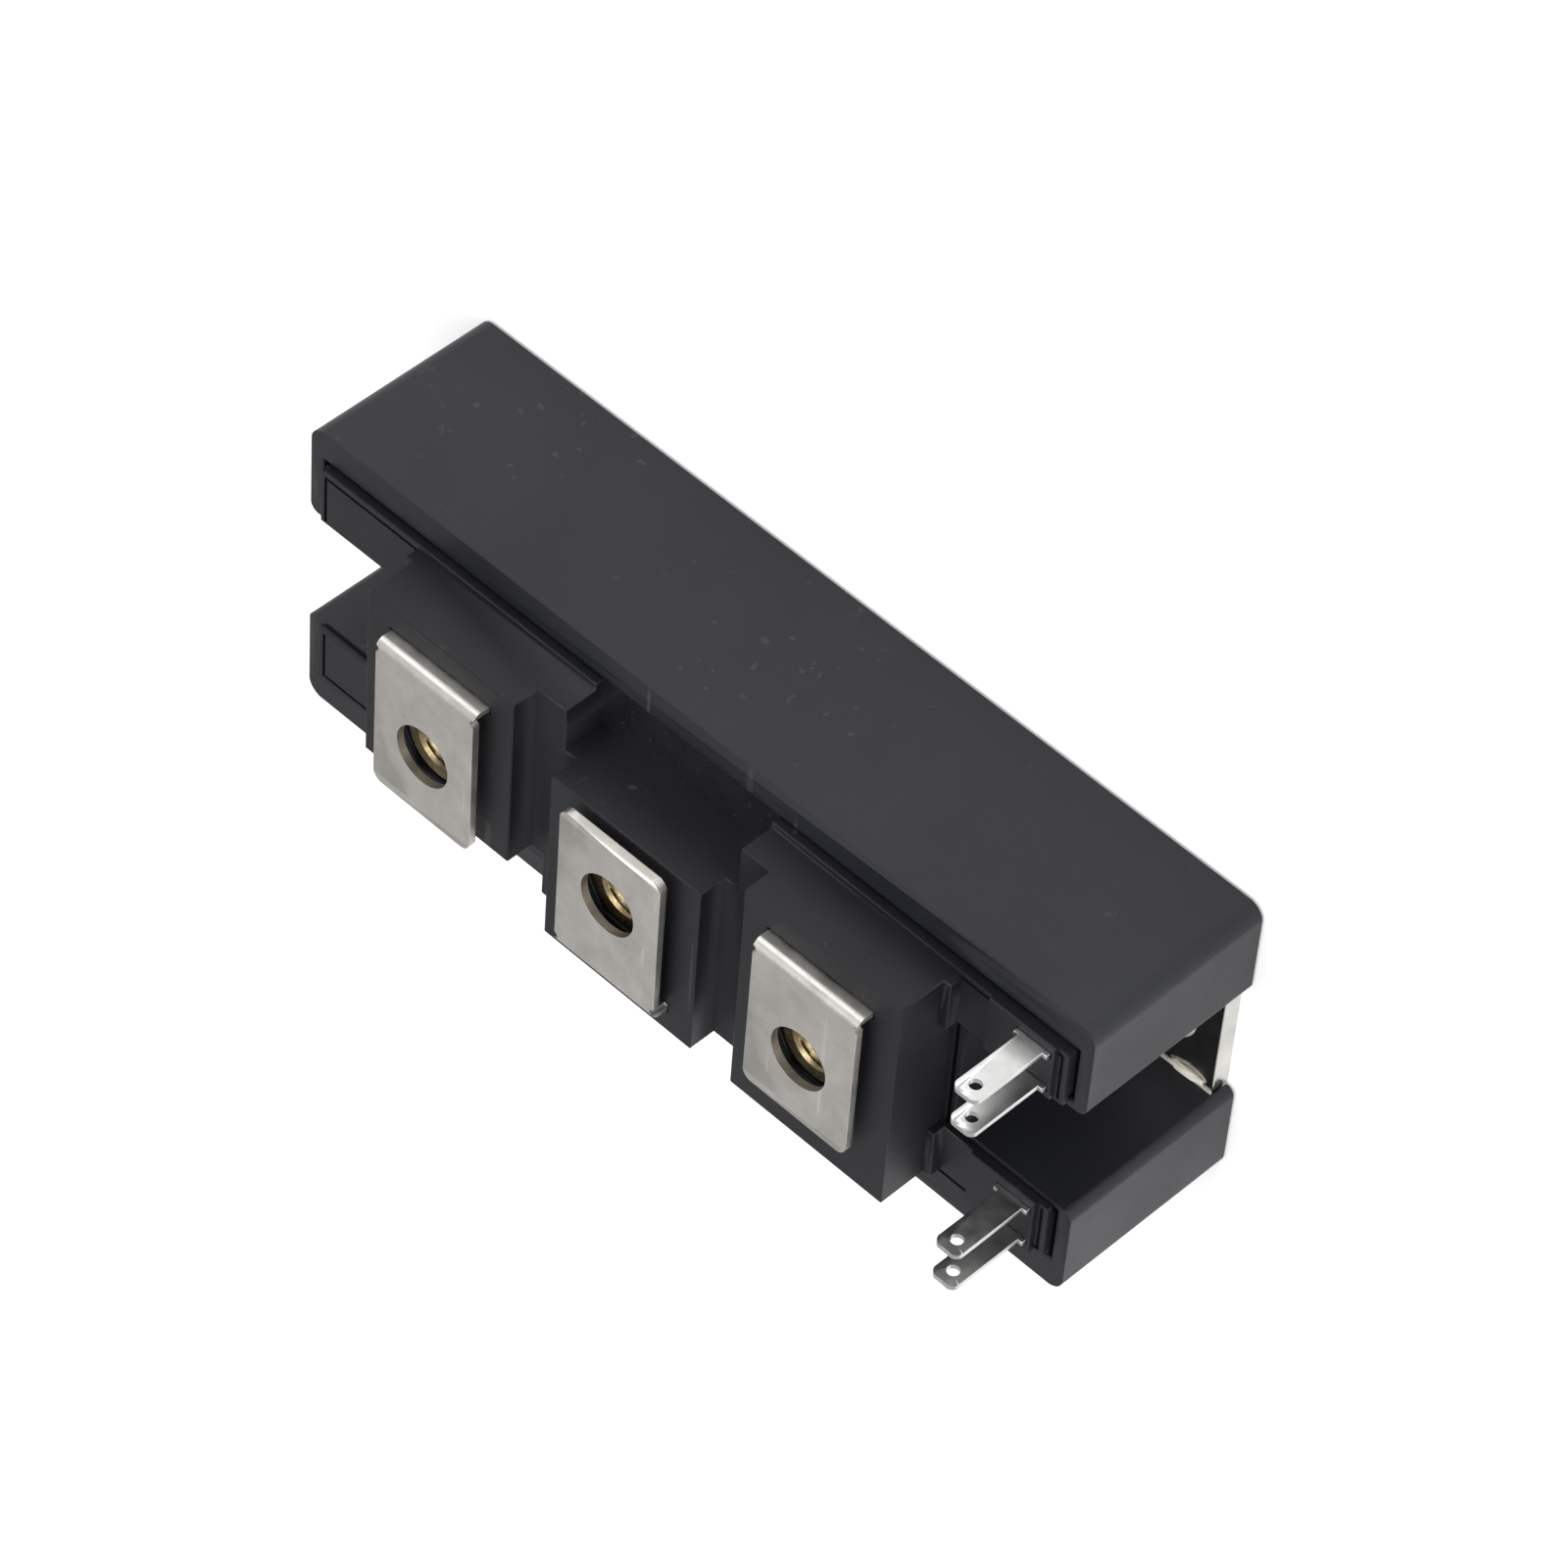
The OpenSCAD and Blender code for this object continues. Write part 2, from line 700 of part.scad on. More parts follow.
module die_solder(sx) {
    color(solder)
        on_substrate(sx) {
            chip(igbt_x, igbt_s, track_z, solder_t);
            chip(diode_x, diode_s, track_z, solder_t);
        }
}
module die_solder_left() { die_solder(-1); }
module die_solder_right() { die_solder(1); }

module igbt_chip(sx) { color(silicon) on_substrate(sx) chip(igbt_x, igbt_s, die_z, chip_t); }
module igbt_chip_left() { igbt_chip(-1); }
module igbt_chip_right() { igbt_chip(1); }

module diode_chip(sx) { color(silicon) on_substrate(sx) chip(diode_x, diode_s, die_z, chip_t); }
module diode_chip_left() { diode_chip(-1); }
module diode_chip_right() { diode_chip(1); }

// ---- bond wires ----

// Half loop of wire over the YZ plane from y0 to y1 at x, standing on the copper.
module loop(x, y0, y1, d) {
    translate([x, (y0 + y1) / 2, track_z])
        rotate([90, 0, 90])
            rotate_extrude(angle = 180) translate([abs(y1 - y0) / 2, 0]) circle(d = d);
}

module power_wires(sx) {
    color(aluminium)
        on_substrate(sx)
            difference() {
                for (x = concat(igbt_wires, diode_wires)) loop(x, power_y[0], power_y[1], wire_d);
                chip(igbt_x, igbt_s, track_z - 1, wire_z - track_z + 1);
                chip(diode_x, diode_s, track_z - 1, wire_z - track_z + 1);
            }
}

// Wires across the gap, from the left collector area to the right emitter area.
module bridge_wires() {
    color(aluminium)
        for (y = bridge_y)
            translate([0, y, 0]) rotate([0, 0, -90]) loop(0, -bridge_x, bridge_x, wire_d);
}

module power_wires_left() { power_wires(-1); bridge_wires(); }
module power_wires_right() { power_wires(1); }

module gate_wires(sx) {
    color(aluminium)
        on_substrate(sx)
            difference() {
                for (w = gate_wires) loop(w[0], w[1], w[2], thin_wire_d);
                chip(igbt_x, igbt_s, track_z - 1, wire_z - track_z + 1);
            }
}
module gate_wires_left() { gate_wires(-1); }
module gate_wires_right() { gate_wires(1); }

// ---- potting ----

// Strips and tabs that pass up through the potting.
module terminals_in_potting() {
    for (i = [0 : 2]) busbar(i);
    for (i = [0 : 3]) control_tab(i);
}

// Everything that lies in the gel, with each group of wires as one plain block.
module circuit_in_gel() {
    for (sx = [-1, 1]) {
        layer(sx, track_l, track_w, base_t - 1, solder_t + copper_t + 1);
        layer(sx, ceramic_l, ceramic_w, base_t + solder_t + copper_t, ceramic_t);
        copper_tracks(sx);
        on_substrate(sx) {
            chip(igbt_x, igbt_s, track_z, wire_z - track_z);
            chip(diode_x, diode_s, track_z, wire_z - track_z);
            wire_room(igbt_wires, power_y, wire_d);
            wire_room(diode_wires, power_y, wire_d);
            wire_room([gate_wires[0][0], gate_wires[1][0]],
                      [gate_wires[1][2], gate_wires[1][1]], thin_wire_d);
        }
    }
    box([-bridge_x - wire_d, bridge_x + wire_d],
        [bridge_y[1] - wire_d, bridge_y[0] + wire_d],
        [track_z, track_z + bridge_x + wire_d]);
}

// Plain block around the loops at the places xs that run between the two ys.
module wire_room(xs, ys, d) {
    box([min(xs) - d, max(xs) + d], [ys[0] - d, ys[1] + d],
        [track_z, track_z + (ys[1] - ys[0]) / 2 + d]);
}

module silicone_gel() {
    color(gel)
        difference() {
            union() {
                translate([0, 0, base_t]) linear_extrude(gel_z - base_t) cavity_plan();
                translate([0, 0, pocket_floor_z])
                    linear_extrude(gel_z - pocket_floor_z) pocket_plan();
            }
            circuit_in_gel();
            terminals_in_potting();
        }
}

module resin_seal() {
    color(resin)
        difference() {
            union() {
                translate([0, 0, gel_z])
                    linear_extrude(cover_z - gel_z) {
                        cavity_plan();
                        pocket_plan();
                    }
                translate([0, 0, cover_z])
                    linear_extrude(resin_z - cover_z)
                        intersection() {
                            trough_plan();
                            cavity_plan();
                        }
            }
            terminals_in_potting();
        }
}

baseplate();
frame_adhesive();
case_frame();
terminal_cover();
resin_seal();
silicone_gel();
busbar_1();
busbar_2();
busbar_3();
terminal_nut_1();
terminal_nut_2();
terminal_nut_3();
control_tab_1();
control_tab_2();
control_tab_3();
control_tab_4();
solder_left();
solder_right();
copper_back_left();
copper_back_right();
ceramic_left();
ceramic_right();
copper_tracks_left();
copper_tracks_right();
die_solder_left();
die_solder_right();
igbt_chip_left();
igbt_chip_right();
diode_chip_left();
diode_chip_right();
power_wires_left();
power_wires_right();
gate_wires_left();
gate_wires_right();
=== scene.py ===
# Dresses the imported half-bridge module: materials for every node, rounded edges, nut
# threads and a bead of sealant around the fixed CAD frame, plus floor, lights and camera.
import bpy
import bmesh
import math
from mathutils import Vector, Matrix, noise


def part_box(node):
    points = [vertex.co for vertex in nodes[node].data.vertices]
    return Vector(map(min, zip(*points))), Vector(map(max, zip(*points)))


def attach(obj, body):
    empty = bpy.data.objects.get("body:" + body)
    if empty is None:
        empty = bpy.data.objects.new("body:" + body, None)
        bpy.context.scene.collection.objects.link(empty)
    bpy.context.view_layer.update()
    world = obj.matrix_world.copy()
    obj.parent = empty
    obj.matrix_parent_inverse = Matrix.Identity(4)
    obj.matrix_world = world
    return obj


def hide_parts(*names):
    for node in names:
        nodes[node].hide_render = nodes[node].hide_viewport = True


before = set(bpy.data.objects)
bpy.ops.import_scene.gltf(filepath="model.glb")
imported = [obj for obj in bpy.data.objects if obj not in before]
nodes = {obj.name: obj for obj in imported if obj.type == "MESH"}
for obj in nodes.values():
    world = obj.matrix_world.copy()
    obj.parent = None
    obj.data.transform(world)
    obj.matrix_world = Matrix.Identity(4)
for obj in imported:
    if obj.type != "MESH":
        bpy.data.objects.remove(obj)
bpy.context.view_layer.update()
MM = 0.001


# ---------------------------------------------------------------- material tools

class Nodes:
    """Short calls for building one node tree."""

    def __init__(self, name):
        self.mat = bpy.data.materials.new(name)
        self.mat.use_nodes = True
        self.tree = self.mat.node_tree
        self.shader = self.tree.nodes["Principled BSDF"]
        self.coord = self.tree.nodes.new("ShaderNodeTexCoord").outputs["Object"]

    def new(self, kind, **values):
        node = self.tree.nodes.new(kind)
        for key, value in values.items():
            setattr(node, key, value)
        return node

    def link(self, a, b):
        self.tree.links.new(a, b)

    def scaled(self, scale, turn=(0, 0, 0)):
        mapping = self.new("ShaderNodeMapping")
        self.link(self.coord, mapping.inputs["Vector"])
        mapping.inputs["Scale"].default_value = scale
        mapping.inputs["Rotation"].default_value = turn
        return mapping.outputs["Vector"]

    def noise(self, scale, detail=3, rough=0.5, vector=None, distortion=0.0):
        node = self.new("ShaderNodeTexNoise")
        self.link(vector or self.coord, node.inputs["Vector"])
        node.inputs["Scale"].default_value = scale
        node.inputs["Detail"].default_value = detail
        node.inputs["Roughness"].default_value = rough
        node.inputs["Distortion"].default_value = distortion
        return node.outputs["Fac"]

    def voronoi(self, scale, feature="F1", vector=None):
        node = self.new("ShaderNodeTexVoronoi", feature=feature)
        self.link(vector or self.coord, node.inputs["Vector"])
        node.inputs["Scale"].default_value = scale
        return node.outputs["Distance"]

    def ramp(self, fac, stops):
        node = self.new("ShaderNodeValToRGB")
        self.link(fac, node.inputs["Fac"])
        while len(node.color_ramp.elements) < len(stops):
            node.color_ramp.elements.new(0.5)
        for element, (place, value) in zip(node.color_ramp.elements, stops):
            element.position = place
            colour = value if isinstance(value, tuple) else (value, value, value)
            element.color = (*colour, 1)
        return node.outputs["Color"]

    def mix(self, fac, a, b, mode="MIX"):
        node = self.new("ShaderNodeMix", data_type="RGBA", blend_type=mode)
        for socket, value in ((node.inputs["Factor"], fac), (node.inputs["A"], a),
                              (node.inputs["B"], b)):
            if isinstance(value, (int, float)):
                socket.default_value = value
            elif isinstance(value, tuple):
                socket.default_value = (*value, 1)
            else:
                self.link(value, socket)
        return node.outputs["Result"]

    def math(self, op, a, b=0.0, clamp=False):
        node = self.new("ShaderNodeMath", operation=op, use_clamp=clamp)
        for socket, value in ((node.inputs[0], a), (node.inputs[1], b)):
            if isinstance(value, (int, float)):
                socket.default_value = value
            else:
                self.link(value, socket)
        return node.outputs["Value"]

    def span(self, value, low, high, to_low, to_high):
        node = self.new("ShaderNodeMapRange")
        self.link(value, node.inputs["Value"])
        for key, number in (("From Min", low), ("From Max", high),
                            ("To Min", to_low), ("To Max", to_high)):
            node.inputs[key].default_value = number
        return node.outputs["Result"]

    def bump(self, height, distance, strength=1.0, normal=None):
        node = self.new("ShaderNodeBump")
        self.link(height, node.inputs["Height"])
        node.inputs["Distance"].default_value = distance
        node.inputs["Strength"].default_value = strength
        if normal:
            self.link(normal, node.inputs["Normal"])
        return node.outputs["Normal"]

    def finish(self, color=None, rough=None, normal=None, **fixed):
        if color is not None:
            self.link(color, self.shader.inputs["Base Color"])
        if rough is not None:
            self.link(rough, self.shader.inputs["Roughness"])
        if normal is not None:
            self.link(normal, self.shader.inputs["Normal"])
        for key, value in fixed.items():
            self.shader.inputs[key.replace("_", " ")].default_value = value
        return self.mat


def scratches(n, scale, length, turn, amount):
    """Thin straight marks in one direction, 1 on a mark."""
    stretched = n.scaled((scale, scale / length, scale), turn)
    lines = n.noise(1.0, detail=1, rough=0.3, vector=stretched)
    fine = n.ramp(lines, [(0.5 + amount, 0.0), (0.5 + amount + 0.012, 1.0)])
    patch = n.ramp(n.noise(90, detail=2), [(0.50, 0.0), (0.60, 1.0)])
    return n.mix(1.0, fine, patch, "MULTIPLY")


def moulded_plastic(name, low, high, gloss=0.42):
    """Charcoal moulded plastic: faint cloudy tone, fine grain and rubbed places."""
    n = Nodes(name)
    cloud = n.noise(38, detail=4, rough=0.55, distortion=0.4)
    grain = n.noise(2600, detail=2, rough=0.6)
    base = n.mix(n.ramp(cloud, [(0.32, 0.0), (0.68, 1.0)]), low, high)
    base = n.mix(n.math("MULTIPLY", grain, 0.30), base, high)
    dust = n.ramp(n.noise(1900, detail=3, rough=0.7), [(0.66, 0.0), (0.76, 1.0)])
    base = n.mix(n.math("MULTIPLY", dust, 0.12), base, (0.09, 0.09, 0.09))
    marks = scratches(n, 900, 26, (0.2, 0.5, 0.9), 0.21)
    base = n.mix(n.math("MULTIPLY", marks, 0.30), base, (0.09, 0.09, 0.095))
    rough = n.span(n.noise(70, detail=3), 0.3, 0.7, gloss - 0.05, gloss + 0.08)
    rough = n.math("ADD", rough, n.math("MULTIPLY", marks, 0.12))
    height = n.math("ADD", n.math("MULTIPLY", grain, 0.7),
                    n.math("MULTIPLY", n.noise(800, detail=2), 0.5))
    normal = n.bump(height, 0.000018, 0.8)
    normal = n.bump(n.noise(60, detail=2), 0.00012, 0.5, normal)
    return n.finish(base, rough, normal, Specular_IOR_Level=0.34)


def plated_strip(name, low, high, rough_low, rough_high):
    """Satin plated strip: rolling lines along Y, cloudy plating, small handling marks."""
    n = Nodes(name)
    cloud = n.noise(230, detail=4, rough=0.6, distortion=0.6)
    roll = n.noise(1.0, detail=3, rough=0.6, vector=n.scaled((2400, 110, 2400)))
    base = n.mix(n.ramp(cloud, [(0.30, 0.0), (0.72, 1.0)]), low, high)
    base = n.mix(n.math("MULTIPLY", roll, 0.35), base, low)
    spots = n.ramp(n.noise(1300, detail=2, rough=0.5), [(0.66, 0.0), (0.72, 1.0)])
    base = n.mix(n.math("MULTIPLY", spots, 0.14), base, (0.24, 0.22, 0.19))
    marks = scratches(n, 900, 22, (0.0, 0.0, 0.7), 0.17)
    base = n.mix(n.math("MULTIPLY", marks, 0.5), base, (0.85, 0.84, 0.82))
    rough = n.span(n.noise(520, detail=3), 0.3, 0.7, rough_low, rough_high)
    rough = n.math("ADD", rough, n.math("MULTIPLY", roll, 0.10))
    height = n.math("ADD", roll, n.math("MULTIPLY", cloud, 0.6))
    normal = n.bump(height, 0.000010, 0.7)
    return n.finish(base, rough, normal, Metallic=1.0)


def simple_metal(name, low, high, rough_low, rough_high, scale=600, bump=0.00001):
    n = Nodes(name)
    cloud = n.noise(scale, detail=4, rough=0.6)
    fine = n.noise(scale * 6, detail=2)
    base = n.mix(n.ramp(cloud, [(0.3, 0.0), (0.7, 1.0)]), low, high)
    rough = n.span(fine, 0.3, 0.7, rough_low, rough_high)
    return n.finish(base, rough, n.bump(cloud, bump, 0.8), Metallic=1.0)


def cast_matter(name, low, high, rough_low, rough_high, scale=300, bump=0.00003, **fixed):
    n = Nodes(name)
    cloud = n.noise(scale, detail=4, rough=0.6, distortion=0.3)
    fine = n.noise(scale * 7, detail=2)
    base = n.mix(n.ramp(cloud, [(0.3, 0.0), (0.7, 1.0)]), low, high)
    base = n.mix(n.math("MULTIPLY", fine, 0.25), base, high)
    rough = n.span(fine, 0.3, 0.7, rough_low, rough_high)
    return n.finish(base, rough, n.bump(cloud, bump, 0.8), **fixed)


def resin_matter():
    """Hard black epoxy: glossy, slightly uneven skin with tiny pits and dust."""
    n = Nodes("resin_black")
    swell = n.noise(260, detail=3, rough=0.5)
    pits = n.ramp(n.voronoi(620), [(0.05, 0.0), (0.16, 1.0)])
    dust = n.ramp(n.noise(1500, detail=3, rough=0.7), [(0.62, 0.0), (0.74, 1.0)])
    base = n.mix(swell, (0.006, 0.006, 0.007), (0.016, 0.016, 0.018))
    base = n.mix(n.math("MULTIPLY", dust, 0.25), base, (0.12, 0.12, 0.12))
    rough = n.span(n.noise(420, detail=3), 0.3, 0.7, 0.06, 0.22)
    rough = n.math("ADD", rough, n.math("MULTIPLY", dust, 0.25))
    normal = n.bump(swell, 0.00035, 0.55)
    normal = n.bump(pits, 0.00004, 0.5, normal)
    return n.finish(base, rough, normal, Specular_IOR_Level=0.6, Coat_Weight=0.35,
                    Coat_Roughness=0.06)


M = {
    "case": moulded_plastic("case_plastic", (0.0080, 0.0085, 0.0120), (0.0145, 0.0152, 0.0200)),
    "cover": moulded_plastic("cover_plastic", (0.0062, 0.0066, 0.0092), (0.0115, 0.0120, 0.0158), 0.46),
    "plate": plated_strip("terminal_plating", (0.56, 0.535, 0.50), (0.73, 0.705, 0.67), 0.30, 0.42),
    "tab": plated_strip("tab_tin", (0.56, 0.56, 0.55), (0.74, 0.74, 0.73), 0.22, 0.34),
    "base": plated_strip("base_nickel", (0.52, 0.51, 0.485), (0.68, 0.67, 0.64), 0.10, 0.18),
    "nut": simple_metal("nut_zinc", (0.17, 0.13, 0.07), (0.38, 0.30, 0.17), 0.26, 0.44, 700),
    "resin": resin_matter(),
    "adhesive": cast_matter("adhesive_silicone", (0.62, 0.58, 0.50), (0.80, 0.76, 0.67), 0.40, 0.6),
    "gel": cast_matter("gel_clear", (0.62, 0.68, 0.70), (0.78, 0.83, 0.85), 0.08, 0.2,
                       Transmission_Weight=0.7, IOR=1.41),
    "copper": simple_metal("copper_bare", (0.62, 0.28, 0.16), (0.80, 0.42, 0.26), 0.25, 0.45),
    "solder": simple_metal("solder_soft", (0.42, 0.43, 0.45), (0.66, 0.67, 0.69), 0.30, 0.5, 900,
                           0.00004),
    "ceramic": cast_matter("ceramic_white", (0.80, 0.79, 0.75), (0.90, 0.89, 0.86), 0.45, 0.6),
    "silicon": simple_metal("chip_silicon", (0.20, 0.22, 0.27), (0.36, 0.38, 0.44), 0.12, 0.25),
    "wire": simple_metal("wire_aluminium", (0.72, 0.73, 0.74), (0.86, 0.87, 0.88), 0.2, 0.35),
}


def material_for(node):
    if node == "case_frame":
        return M["case"]
    if node == "terminal_cover":
        return M["cover"]
    for word, key in (("baseplate", "base"), ("adhesive", "adhesive"), ("resin", "resin"),
                      ("gel", "gel"), ("busbar", "plate"), ("nut", "nut"), ("tab", "tab"),
                      ("solder", "solder"), ("copper", "copper"), ("ceramic", "ceramic"),
                      ("chip", "silicon"), ("wires", "wire")):
        if word in node:
            return M[key]
    raise ValueError(node)


for name, obj in nodes.items():
    obj.data.materials.clear()
    obj.data.materials.append(material_for(name))


# ---------------------------------------------------------------- finer pieces

def add_piece(name, mesh, material, slot, *stands_for):
    piece = bpy.data.objects.new(name, mesh)
    bpy.context.scene.collection.objects.link(piece)
    mesh.materials.clear()
    mesh.materials.append(material)
    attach(piece, "root")
    if stands_for:
        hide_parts(*stands_for)
    return piece


def narrow(face):
    """Roughly the width of a long face."""
    return 2 * face.calc_area() / max(face.calc_perimeter(), 1e-9)


def soft_edges(node, width, slot, least=0.0006):
    """A copy of a CAD node whose outer edges are slightly rounded."""
    source = nodes[node]
    mesh = bpy.data.meshes.new(node + "_finished")
    bm = bmesh.new()
    bm.from_mesh(source.data)
    bm.transform(source.matrix_world)
    bmesh.ops.remove_doubles(bm, verts=bm.verts, dist=2e-6)
    bmesh.ops.dissolve_limit(bm, angle_limit=math.radians(0.7), verts=bm.verts, edges=bm.edges)
    bmesh.ops.recalc_face_normals(bm, faces=bm.faces)
    weight = bm.edges.layers.float.new("bevel_weight_edge")
    for face in bm.faces:
        face.smooth = True
    for edge in bm.edges:
        if len(edge.link_faces) != 2:
            continue
        sharp = edge.calc_face_angle(0) > math.radians(30)
        roomy = min(narrow(face) for face in edge.link_faces) > least
        rounded = sharp and edge.is_convex and roomy
        edge.smooth = rounded or not sharp
        edge[weight] = 1.0 if rounded else 0.0
    bm.to_mesh(mesh)
    bm.free()
    piece = add_piece(node + "_finished", mesh, material_for(node), slot, node)
    bevel = piece.modifiers.new("soft_edges", "BEVEL")
    bevel.limit_method = "WEIGHT"
    bevel.width = width
    bevel.segments = 3
    bevel.use_clamp_overlap = False
    weighted = piece.modifiers.new("even_faces", "WEIGHTED_NORMAL")
    weighted.keep_sharp = True
    weighted.weight = 100


def threaded_nut(i):
    """Hexagon nut with chamfers and a cut thread, as rings from the foot round to the bore."""
    low, high = (Vector(corner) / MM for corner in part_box("terminal_nut_%d" % i))
    x = (low.x + high.x) / 2
    z0 = low.z
    z1 = high.z
    half_af = (high.y - low.y) / 2
    steps = 96          # points round each ring
    rows = 50           # rings along the bore
    flat = 3.75         # radius of the flat end faces, mm
    mouth = 2.62        # radius of the countersink at its widest, mm
    minor = 2.1         # smallest radius of the thread, mm
    depth = 0.42        # depth of the thread, mm
    pitch = 0.8         # rise of the thread in one turn, mm
    chamfer = math.tan(math.radians(30))
    angles = [2 * math.pi * k / steps for k in range(steps)]

    def hex_r(a):
        return half_af / math.cos(a % (math.pi / 3) - math.pi / 6)

    def bore_r(a, z):
        phase = (z / pitch - a / (2 * math.pi)) % 1.0
        thread = minor + depth * min(1.0, max(0.0, 1.35 * abs(2 * phase - 1) - 0.15))
        return max(thread, mouth - (z - z0), mouth - (z1 - z))

    rings = [[(mouth, z0)] * steps, [(flat, z0)] * steps]
    rings.append([(hex_r(a), z0 + chamfer * (hex_r(a) - flat)) for a in angles])
    rings.append([(hex_r(a), z1 - chamfer * (hex_r(a) - flat)) for a in angles])
    rings += [[(flat, z1)] * steps, [(mouth, z1)] * steps]
    for k in range(1, rows):
        z = z1 + (z0 - z1) * k / rows
        rings.append([(bore_r(a, z), z) for a in angles])
    verts = [(MM * (x + r * math.cos(a)), MM * r * math.sin(a), MM * z)
             for ring in rings for a, (r, z) in zip(angles, ring)]
    count = len(rings)
    faces = []
    for j in range(count):
        for k in range(steps):
            a, b = j * steps, ((j + 1) % count) * steps
            m = (k + 1) % steps
            faces.append((a + k, a + m, b + m, b + k))
    mesh = bpy.data.meshes.new("nut_%d_threaded" % i)
    mesh.from_pydata(verts, [], faces)
    bm = bmesh.new()
    bm.from_mesh(mesh)
    bmesh.ops.recalc_face_normals(bm, faces=bm.faces)
    for face in bm.faces:
        face.smooth = True
    for edge in bm.edges:
        edge.smooth = edge.calc_face_angle(0) < math.radians(28)
    bm.to_mesh(mesh)
    bm.free()
    add_piece("nut_%d_threaded" % i, mesh, M["nut"], "nut_brass", "terminal_nut_%d" % i)


def sealant_bead(name, centre, half_size):
    """A small cured bead of sealant left beside a wall."""
    bm = bmesh.new()
    bmesh.ops.create_uvsphere(bm, u_segments=48, v_segments=24, radius=1.0)
    for vert in bm.verts:
        lump = 1 + 0.22 * noise.noise(vert.co * 2.3 + Vector(centre))
        vert.co = Vector(MM * (c + h * v * lump)
                         for c, h, v in zip(centre, half_size, vert.co))
    for face in bm.faces:
        face.smooth = True
    mesh = bpy.data.meshes.new(name)
    bm.to_mesh(mesh)
    bm.free()
    add_piece(name, mesh, M["adhesive"], "adhesive")


bpy.context.view_layer.update()
soft_edges("case_frame", 0.00028, "case_plastic")
soft_edges("terminal_cover", 0.00018, "case_plastic")
soft_edges("baseplate", 0.00018, "base_nickel")
for i in (1, 2, 3):
    soft_edges("busbar_%d" % i, 0.00012, "terminal_nickel", 0.0004)
    threaded_nut(i)
for i in (1, 2, 3, 4):
    soft_edges("control_tab_%d" % i, 0.00007, "tab_tin", 0.0002)
sealant_bead("bead_in_slot", (43.0, -6.1, 2.15), (2.0, 0.42, 0.40))


# ---------------------------------------------------------------- floor, light, camera

def stage_floor():
    mesh = bpy.data.meshes.new("floor")
    size = 3.0
    mesh.from_pydata([(-size, -size, 0), (size, -size, 0), (size, size, 0), (-size, size, 0)],
                     [], [(0, 1, 2, 3)])
    floor = bpy.data.objects.new("floor", mesh)
    bpy.context.scene.collection.objects.link(floor)
    n = Nodes("floor_paper")
    tone = n.mix(n.noise(6, detail=2), (0.86, 0.86, 0.86), (0.88, 0.88, 0.88))
    n.finish(tone, None, None, Roughness=0.9, Specular_IOR_Level=0.1)
    light_path = n.new("ShaderNodeLightPath")
    seen = n.math("MAXIMUM", light_path.outputs["Is Camera Ray"],
                  light_path.outputs["Is Glossy Ray"])
    seen = n.math("MAXIMUM", seen, light_path.outputs["Is Transmission Ray"])
    glow = n.new("ShaderNodeEmission")
    glow.inputs["Color"].default_value = (1, 1, 1, 1)
    glow.inputs["Strength"].default_value = 0.28
    add = n.new("ShaderNodeAddShader")
    pick = n.new("ShaderNodeMixShader")
    out = n.tree.nodes["Material Output"]
    n.link(n.shader.outputs[0], add.inputs[0])
    n.link(glow.outputs[0], add.inputs[1])
    n.link(seen, pick.inputs[0])
    n.link(n.shader.outputs[0], pick.inputs[1])
    n.link(add.outputs[0], pick.inputs[2])
    n.link(pick.outputs[0], out.inputs["Surface"])
    mesh.materials.append(n.mat)


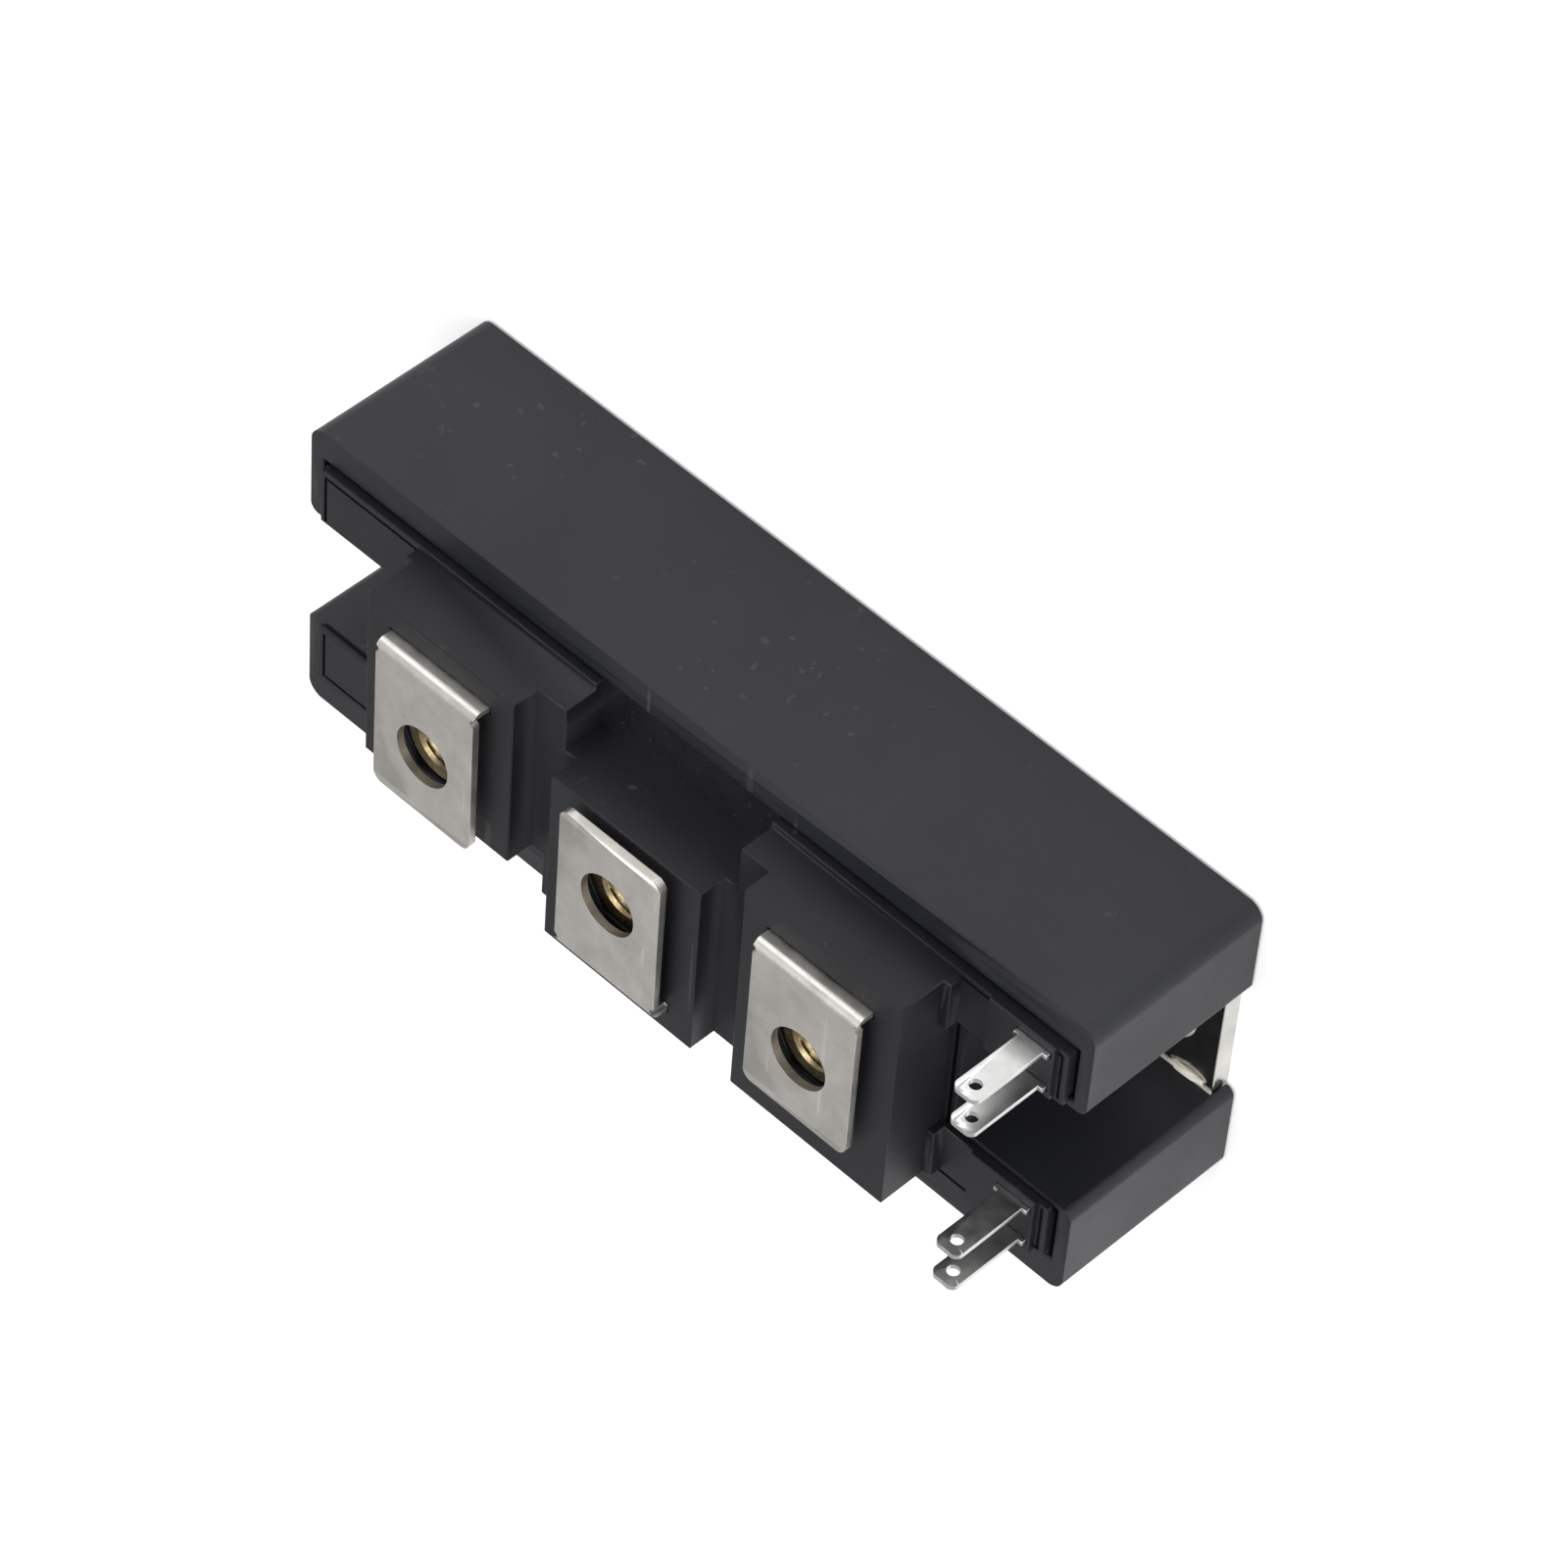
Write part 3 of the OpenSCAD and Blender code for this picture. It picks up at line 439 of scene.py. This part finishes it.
def world_light(strength):
    world = bpy.data.worlds.new("studio")
    world.use_nodes = True
    bpy.context.scene.world = world
    tree = world.node_tree
    back = tree.nodes["Background"]
    back.inputs["Color"].default_value = (1, 1, 1, 1)
    back.inputs["Strength"].default_value = strength
    path = tree.nodes.new("ShaderNodeLightPath")
    white = tree.nodes.new("ShaderNodeBackground")
    white.inputs["Color"].default_value = (1, 1, 1, 1)
    white.inputs["Strength"].default_value = 1.0
    pick = tree.nodes.new("ShaderNodeMixShader")
    any_seen = tree.nodes.new("ShaderNodeMath")
    any_seen.operation = "MAXIMUM"
    tree.links.new(path.outputs["Is Camera Ray"], any_seen.inputs[0])
    tree.links.new(path.outputs["Is Transmission Ray"], any_seen.inputs[1])
    tree.links.new(any_seen.outputs[0], pick.inputs[0])
    tree.links.new(back.outputs[0], pick.inputs[1])
    tree.links.new(white.outputs[0], pick.inputs[2])
    tree.links.new(pick.outputs[0], tree.nodes["World Output"].inputs["Surface"])


def soft_lamp(name, place, target, size, power):
    data = bpy.data.lights.new(name, "AREA")
    data.shape = "RECTANGLE"
    data.size, data.size_y = size
    data.energy = power
    lamp = bpy.data.objects.new(name, data)
    bpy.context.scene.collection.objects.link(lamp)
    lamp.location = place
    lamp.rotation_euler = (Vector(target) - Vector(place)).to_track_quat("-Z", "Y").to_euler()


def camera(place, target, roll, lens):
    data = bpy.data.cameras.new("camera")
    data.lens = lens
    data.sensor_width = 36
    data.clip_start = 0.01
    data.clip_end = 20
    cam = bpy.data.objects.new("camera", data)
    bpy.context.scene.collection.objects.link(cam)
    look = (Vector(target) - Vector(place)).to_track_quat("-Z", "Y").to_matrix()
    turn = look @ Matrix.Rotation(math.radians(roll), 3, "Z")
    cam.matrix_world = Matrix.Translation(place) @ turn.to_4x4()
    bpy.context.scene.camera = cam


bpy.context.scene.view_settings.view_transform = "Standard"
stage_floor()
world_light(0.55)
soft_lamp("key", (0.10, 0.25, 0.75), (0, 0, 0.01), (0.5, 0.5), 3.2)
soft_lamp("side", (0.75, 0.10, 0.30), (0, 0, 0.01), (0.5, 0.4), 2.6)
soft_lamp("back", (-0.30, 0.70, 0.25), (0, 0, 0.01), (0.5, 0.3), 1.2)
camera((0.26855, 0.45168, 0.31417), (0.00175, 0.00234, 0.01001), -125.41, 160.9)
